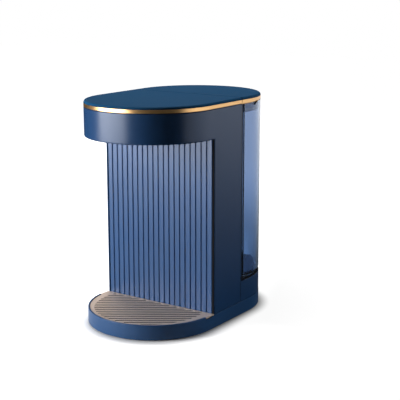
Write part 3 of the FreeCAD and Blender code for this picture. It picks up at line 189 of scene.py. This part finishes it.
def noise(tree, grain, detail=3.0, roughness=0.5):
    """Noise with a grain in waves per metre along each axis."""
    place = tree.nodes.new("ShaderNodeTexCoord").outputs["Object"]
    mapping = make(tree, "ShaderNodeMapping", Vector=place, Scale=grain)
    return make(tree, "ShaderNodeTexNoise", Vector=mapping.outputs["Vector"], Scale=1.0,
                Detail=detail, Roughness=roughness).outputs["Fac"]


def spread(tree, source, low, high):
    """A noise value mapped to about the range low to high."""
    ramp = make(tree, "ShaderNodeMapRange", Value=source, From_Min=USUAL_NOISE[0],
                From_Max=USUAL_NOISE[1], To_Min=low, To_Max=high)
    ramp.clamp = False
    return ramp.outputs["Result"]


def colour_between(tree, share, first, second):
    """The first colour where the share is zero and the second where it is one."""
    mix = tree.nodes.new("ShaderNodeMix")
    mix.data_type = "RGBA"
    feed(tree, mix, Factor=share, A=first, B=second)
    return mix.outputs["Result"]


def varied(tree, source, colour, darkest, lightest):
    """The colour, made darker and lighter by a noise value."""
    return colour_between(tree, spread(tree, source, 0.0, 1.0), scaled(colour, darkest),
                          scaled(colour, lightest))


def with_painted_shade(tree, tone, mask, colour):
    """The tone, with painted shade that turns it nearly black where the mask is one."""
    return colour_between(tree, mask, tone, scaled(colour, PAINTED_SHADE_TONE))


def relief(tree, source, strength, distance, edge=0.0):
    """A bump of a given height, over edges softened by a small radius."""
    bump = make(tree, "ShaderNodeBump", Strength=strength, Distance=distance, Height=source)
    if edge:
        soft = make(tree, "ShaderNodeBevel", Radius=edge)
        soft.samples = EDGE_SAMPLES
        feed(tree, bump, Normal=soft.outputs["Normal"])
    return bump.outputs["Normal"]


# Masks of the painted shade, dark lines where shade falls in seams, gaps and slots
def column_seam(tree):
    """One beside the upright line where the column meets the rear cover, for the painted shade in
    that seam.
    """
    parts = object_place(tree)[1]
    off_line = calculate(tree, "ABSOLUTE", calculate(tree, "SUBTRACT", parts["Y"], SEAM_PLACE))
    return under(tree, off_line, SEAM_REACH)


def column_lines(tree):
    """One on the upright seam and in the groove beside the ribbed panel on the shaded side, for
    painted shade there.
    """
    parts = object_place(tree)[1]
    groove = product(tree, over(tree, parts["X"], PANEL_END), under(tree, parts["X"], GROOVE_END),
                     under(tree, parts["Y"], GROOVE_BACK), under(tree, parts["Z"], GROOVE_TOP))
    return largest(tree, groove, column_seam(tree))


def rear_lines(tree):
    """One beside the upright seam and on the faces that line the narrow gap round the tank, for
    painted shade there.
    """
    parts = object_place(tree)[1]
    gap = product(tree, over(tree, parts["Y"], GAP_FRONT), over(tree, parts["Z"], GAP_FOOT),
                  over(tree, beyond_footprint(tree, parts), -GAP_DEPTH))
    return largest(tree, gap, column_seam(tree))


def slot_walls(tree):
    """One inside the slots of the drip plate, for the painted shade on their walls."""
    parts = object_place(tree)[1]
    return product(tree, under(tree, parts["Z"], SLOT_TOP),
                   under(tree, beyond_footprint(tree, parts), -PLATE_RIM))


def tank_lines(tree, parts):
    """One at the tank's foot and where it stands beside the upright gap, for painted shade there.
    """
    beside_gap = product(tree, under(tree, parts["Y"], TANK_EDGE),
                         over(tree, beyond_footprint(tree, parts), -TANK_SIDE))
    return largest(tree, fade(tree, parts["Z"], TANK_FOOT, (1.0, 0.0)), beside_gap)


# Kinds of material
def moulded(name, colour, rough, specular=0.5, edge=MOULD_EDGE, painted_shade_lines=None):
    """Satin moulded plastic: fine grain, faint cloudiness and soft edges, and painted shade along
    the lines' mask when one is given.
    """
    material, tree, shader = new_material(name)
    grain = noise(tree, MOULD_GRAIN, detail=2.0, roughness=0.6)
    cloud = noise(tree, MOULD_CLOUD, detail=2.0)
    tone = varied(tree, cloud, colour, darkest=0.95, lightest=1.05)
    dullness = spread(tree, grain, rough - 0.02, rough + 0.02)
    # Painted shade: nearly black, and fully rough, where the mask is one
    if painted_shade_lines:
        mask = painted_shade_lines(tree)
        tone = with_painted_shade(tree, tone, mask, colour)
        dullness = largest(tree, dullness, mask)
    feed(tree, shader, Base_Color=tone, Roughness=dullness, Specular_IOR_Level=specular,
         Normal=relief(tree, grain, strength=0.12, distance=0.02 * MM, edge=edge))
    return material


def brushed(name, colour, grain, rough, metal=1.0, line_depth=0.25, painted_shade_lines=None):
    """Brushed metal, with fine lines across the axes along which the grain is fine, and painted
    shade along the lines' mask when one is given.
    """
    material, tree, shader = new_material(name)
    lines = noise(tree, grain, detail=4.0, roughness=0.65)
    tone = varied(tree, lines, colour, darkest=0.86, lightest=1.08)
    # Painted shade: nearly black where the mask is one
    if painted_shade_lines:
        tone = with_painted_shade(tree, tone, painted_shade_lines(tree), colour)
    feed(tree, shader, Base_Color=tone, Metallic=metal,
         Roughness=spread(tree, lines, rough - 0.02, rough + 0.04),
         Normal=relief(tree, lines, strength=line_depth, distance=0.02 * MM, edge=METAL_EDGE))
    return material


def clear_tinted(name, upper, lower, rough, bend):
    """Clear tinted plastic, with painted shade that deepens the tint towards the foot and turns it
    dark at the foot and beside the gap that it stands in.
    """
    material, tree, shader = new_material(name)
    parts = object_place(tree)[1]
    wave = noise(tree, TANK_WAVE, detail=2.0)
    tone = colour_between(tree, fade(tree, parts["Z"], TANK_SHADE_HEIGHTS, (0.0, 1.0)), lower, upper)
    feed(tree, shader, Base_Color=with_painted_shade(tree, tone, tank_lines(tree, parts), lower),
         Roughness=rough, Transmission_Weight=1.0, IOR=bend,
         Normal=relief(tree, wave, strength=0.05, distance=0.2 * MM))
    return material


def soft_rubber(name, colour, rough):
    """Matt rubber with a fine grain."""
    material, tree, shader = new_material(name)
    grain = noise(tree, RUBBER_GRAIN)
    tone = varied(tree, grain, colour, darkest=0.9, lightest=1.1)
    feed(tree, shader, Base_Color=tone, Roughness=rough,
         Normal=relief(tree, grain, strength=0.2, distance=0.03 * MM, edge=RUBBER_EDGE))
    return material


def paint(names, material):
    """The material on every face of each named CAD node."""
    for name in names:
        data = nodes[name].data
        data.materials.clear()
        data.materials.append(material)


# Materials of the object
NAVY = srgb(34, 71, 116)
# Painted shade: the body and the rear cover are nearly black in their seams, in the groove beside
# the panel and in the gap round the tank
body_navy = moulded("body_navy", NAVY, rough=0.28, specular=0.42, edge=HOUSING_EDGE,
                    painted_shade_lines=column_lines)
rear_navy = moulded("rear_navy", NAVY, rough=0.28, specular=0.42, painted_shade_lines=rear_lines)
top_navy = moulded("top_navy", srgb(26, 76, 114), rough=0.5, specular=0.02, edge=COVER_EDGE)
# Painted light: the panel and the base are lighter copies of the navy, standing in for the extra
# light that falls on them
panel_navy_painted_light = moulded("panel_navy_painted_light", srgb(42, 85, 138), rough=0.3, specular=0.52)
base_navy_painted_light = moulded("base_navy_painted_light", srgb(39, 81, 129), rough=0.32, specular=0.52)
# Painted shade: a darker copy of the navy under the head
underside_painted_shade_navy = moulded("underside_painted_shade_navy", srgb(22, 40, 66), rough=0.45)
float_blue = moulded("float_blue", srgb(126, 138, 154), rough=0.4, specular=0.3)
gold = brushed("gold_band", srgb(243, 194, 135), BAND_LINES, rough=0.29, line_depth=0.08)
# Painted shade: the slot walls of the drip plate are nearly black
champagne = brushed("champagne_plate", srgb(240, 217, 200), PLATE_LINES, rough=0.42, metal=0.35,
                    painted_shade_lines=slot_walls)
# Painted shade: the lower colour deepens the tank's tint towards its foot
tank_blue = clear_tinted("tank_blue", upper=srgb(170, 187, 213), lower=srgb(163, 194, 232),
                         rough=0.06, bend=1.3)
frosted = moulded("frosted_plastic", srgb(160, 174, 196), rough=0.4)
black_plastic = moulded("black_plastic", srgb(24, 25, 28), rough=0.5)
basin_black = moulded("basin_black", srgb(12, 12, 14), rough=0.6, specular=0.2)
white_plastic = moulded("white_plastic", srgb(196, 200, 205), rough=0.45)
black_rubber = soft_rubber("black_rubber", srgb(22, 22, 23), rough=0.8)
silicone = soft_rubber("silicone", srgb(205, 208, 210), rough=0.5)
steel = brushed("brushed_steel", srgb(170, 172, 175), STEEL_LINES, rough=0.3)
zinc = brushed("zinc_can", srgb(140, 143, 146), CAN_LINES, rough=0.4)
film = moulded("printed_film", srgb(60, 80, 66), rough=0.4)
board_green = moulded("board_green", srgb(24, 84, 48), rough=0.35)

paint(["main_housing"], body_navy)
paint(["rear_cover"], rear_navy)
paint(["base_shell", "bottom_cover"], base_navy_painted_light)
paint(["head_underside"], underside_painted_shade_navy)
paint(["float_housing"], float_blue)
paint(["top_cover", "tank_lid"], top_navy)
paint(["ribbed_panel"], panel_navy_painted_light)
paint(["front_trim", "lid_trim"], gold)
paint(["drip_grille"], champagne)
paint(["water_tank"], tank_blue)
paint(["lid_skirt"], frosted)
paint(["drip_basin"], basin_black)
paint(["outlet_nozzle", "pump_housing", "pump_cover", "motor_clamp", "heater_clamp_lower",
       "heater_clamp_upper", "board_components", "impeller"], black_plastic)
paint(["inner_frame", "tank_socket", "valve_cage", "valve_plunger", "level_float",
       "heater_cap_lower", "heater_cap_upper", "thermal_cutout"], white_plastic)
paint(["foot_front_left", "foot_rear_left", "foot_front_right", "foot_rear_right", "cord_gland",
       "socket_seal", "valve_seal", "pump_pad", "touch_pad"], black_rubber)
paint(["inlet_hose", "heater_hose", "outlet_hose", "lid_gasket"], silicone)
paint(["base_screws", "heater_tube", "motor_shaft", "temperature_sensor", "hose_clips",
       "valve_spring", "float_magnet"], steel)
paint(["pump_motor"], zinc)
paint(["heater_tracks"], film)
paint(["touch_board", "power_board"], board_green)

# Half the floor's width in metres, and its tones as shares of white. The dark tone is painted
# shade beside the object's shaded side, the front tone a painted pool of light before it, the
# gloss tone painted shade in what glossy surfaces show, the halo tone a painted grey ring round
# its shadow and the peak glow a painted reflection
FLOOR_REACH = 3.0
FLOOR_TONE = 0.7
FLOOR_DARK = 0.03
FRONT_TONE = 0.95
GLOSS_TONE = 0.05
HALO_TONE = 0.94
PEAK_GLOW = 1.5

# Courses over the floor: a direction, and where along it the fade starts and ends. The dark
# courses place the painted shade, the glow courses the painted reflection
DARK_FRONT = (0.95, -0.30, 0.0), (0.05, 0.15)
DARK_FLANK = (1.0, 0.45, 0.0), (0.02, 0.11)
BEFORE_BODY = (0.0, 1.0, 0.0), (-0.06, 0.03)
GLOW_SIDE = (0.423, 0.906, 0.0), (0.29, 0.47)
GLOW_PEAK = (0.97, 0.24, 0.0), (0.77, 0.98)

# Fades by the distance from the object's footprint, in metres. The shadow span and lean set where
# the camera's white gives way to the real shadow, painting more shadow before the object than
# behind it; the far span paints shade near the object into what the tank shows
FRONT_SPAN = (0.05, 0.2)
GLOSS_SPAN = (0.05, 0.3)
SHADOW_SPAN = (-0.004, 0.016)
HALO_SPAN = (0.0, 0.1)
FAR_SPAN = (-0.06, 0.7)
GLOW_SPAN = (0.05, 1.5)
SHADOW_LEAN = (0.0, 0.03, 0.0)

# How bright the world is to glossy rays, and to those that light the object evenly
WORLD_GLOSS = 0.13
AMBIENT = 0.03
WHITE = (1, 1, 1, 1)


def pale_floor():
    """The floor's material, which the camera, the clear tank and glossy surfaces see differently.

    The colour throws light back at the object: it is painted dark beside its shaded side, as
    painted shade, and painted light in a pool before it. The emission turns the floor white away
    from the object for the camera and the tank; its fade near the footprint leaves the real shadow
    and paints more shadow round it. For glossy surfaces the emission is a painted reflection, a
    glow on the bright far part of the floor that they show.
    """
    material, tree, shader = new_material("pale_floor")
    rays = tree.nodes.new("ShaderNodeLightPath").outputs
    place, parts = object_place(tree)
    unit = tree.nodes.new("ShaderNodeVectorMath")
    unit.operation = "NORMALIZE"
    tree.links.new(place, unit.inputs[0])
    heading = unit.outputs["Vector"]
    reach = beyond_footprint(tree, parts)

    # Painted shade: the floor's colour is dark beside the object's shaded side
    tone = calculate(tree, "MINIMUM", *(fade_along(tree, place, course, (FLOOR_TONE, FLOOR_DARK))
                                        for course in (DARK_FRONT, DARK_FLANK)))
    # Painted light: a brighter pool of floor before the body
    front = product(tree, fade(tree, reach, FRONT_SPAN, (FRONT_TONE, 0.0)),
                    fade_along(tree, place, BEFORE_BODY, (1.0, 0.0)))
    # Painted shade in what glossy surfaces show, darker away from the object
    glossy_tone = product(tree, tone, fade(tree, reach, GLOSS_SPAN, (1.0, GLOSS_TONE)))
    colour = make(tree, "ShaderNodeMix", Factor=rays["Is Glossy Ray"],
                  A=largest(tree, tone, front), B=glossy_tone)

    # The camera's white fades near the footprint: the real shadow, with painted shadow that
    # reaches further before the object and a painted grey halo
    shadow_reach = calculate(tree, "ADD", reach, along(tree, place, SHADOW_LEAN))
    camera_white = product(tree, fade(tree, shadow_reach, SHADOW_SPAN, (0.0, 1.0)),
                           fade(tree, reach, HALO_SPAN, (HALO_TONE, 1.0)))
    # Painted shade near the object in what the tank shows
    tank_white = fade(tree, reach, FAR_SPAN, (0.0, 1.0))
    # Painted reflection: a glowing patch of far floor that only glossy surfaces see
    glow = product(tree, fade(tree, reach, GLOW_SPAN, (0.0, 1.0), "LINEAR"),
                   fade_along(tree, heading, GLOW_SIDE, (0.0, 1.0)),
                   fade_along(tree, heading, GLOW_PEAK, (1.0, PEAK_GLOW)))
    seen = largest(tree, product(tree, glow, rays["Is Glossy Ray"]),
                   product(tree, tank_white, rays["Is Transmission Ray"]),
                   product(tree, camera_white, rays["Is Camera Ray"]))
    feed(tree, shader, Base_Color=colour.outputs["Result"], Roughness=0.9, Specular_IOR_Level=0.0,
         Emission_Color=WHITE, Emission_Strength=seen)
    return material


def lamp(name, place, target, size, power, glossy=True, diffuse=True):
    """A rectangular soft lamp of size (width, height) that faces the target."""
    data = bpy.data.lights.new(name, "AREA")
    data.shape = "RECTANGLE"
    data.size, data.size_y = size
    data.energy = power
    item = bpy.data.objects.new(name, data)
    item.location = place
    item.rotation_mode = "QUATERNION"
    item.rotation_quaternion = (Vector(target) - Vector(place)).to_track_quat("-Z", "Y")
    item.visible_camera = False
    item.visible_transmission = False
    item.visible_glossy = glossy
    item.visible_diffuse = diffuse
    bpy.context.scene.collection.objects.link(item)


# Floor
floor_mesh = bpy.data.meshes.new("floor")
corners = [(x * FLOOR_REACH, y * FLOOR_REACH, 0) for x, y in ((-1, -1), (1, -1), (1, 1), (-1, 1))]
floor_mesh.from_pydata(corners, [], [(0, 1, 2, 3)])
floor_mesh.materials.append(pale_floor())
floor = bpy.data.objects.new("floor", floor_mesh)
bpy.context.scene.collection.objects.link(floor)

# World, which is white to the camera and to the clear tank
world = bpy.data.worlds.new("studio")
bpy.context.scene.world = world
world.use_nodes = True
sky = world.node_tree
sky.nodes.clear()
rays = sky.nodes.new("ShaderNodeLightPath").outputs
seen = largest(sky, rays["Is Camera Ray"], rays["Is Transmission Ray"],
               product(sky, rays["Is Glossy Ray"], WORLD_GLOSS), AMBIENT)
backdrop = make(sky, "ShaderNodeBackground", Color=WHITE, Strength=seen)
make(sky, "ShaderNodeOutputWorld", Surface=backdrop.outputs["Background"])

# Lamps
lamp("key_left", place=(-0.771, -0.826, 0.33), target=(0, 0, 0.33), size=(0.45, 0.66), power=15,
     glossy=False)
lamp("sheen_left", place=(-0.607, -0.953, 0.33), target=(0, 0, 0.33), size=(1.08, 0.66), power=23,
     diffuse=False)
lamp("sheen_right", place=(0.778, 0.778, 0.33), target=(0, 0, 0.33), size=(1.8, 0.24), power=3.1,
     diffuse=False)
lamp("top_soft", place=(-0.35, 0.35, 1.2), target=(0, 0, 0.1), size=(0.7, 0.7), power=10)
lamp("fill_right", place=(0.805, 0.863, 0.16), target=(0, 0, 0.12), size=(0.5, 0.3), power=4.4,
     glossy=False)
lamp("fill_back", place=(-0.77, 0.92, 0.35), target=(0, 0, 0.12), size=(0.6, 0.5), power=4,
     glossy=False)

# Camera, fitted to the outlines of the tray, the head and the top
FILM_WIDTH = 36
FOCAL_PIXELS = 1011.8
FRAME_PIXELS = 400
CAMERA_PLACE = (0.5822, -0.8074, 0.3350)
CAMERA_DOWN = 12.49
CAMERA_TURN = 34.36
camera_data = bpy.data.cameras.new("camera")
camera_data.sensor_width = FILM_WIDTH
camera_data.lens = FILM_WIDTH * FOCAL_PIXELS / FRAME_PIXELS
camera = bpy.data.objects.new("camera", camera_data)
camera.location = CAMERA_PLACE
camera.rotation_euler = (math.radians(90 - CAMERA_DOWN), 0, math.radians(CAMERA_TURN))
bpy.context.scene.collection.objects.link(camera)
bpy.context.scene.camera = camera

bpy.context.scene.view_settings.view_transform = "Standard"
bpy.context.view_layer.update()
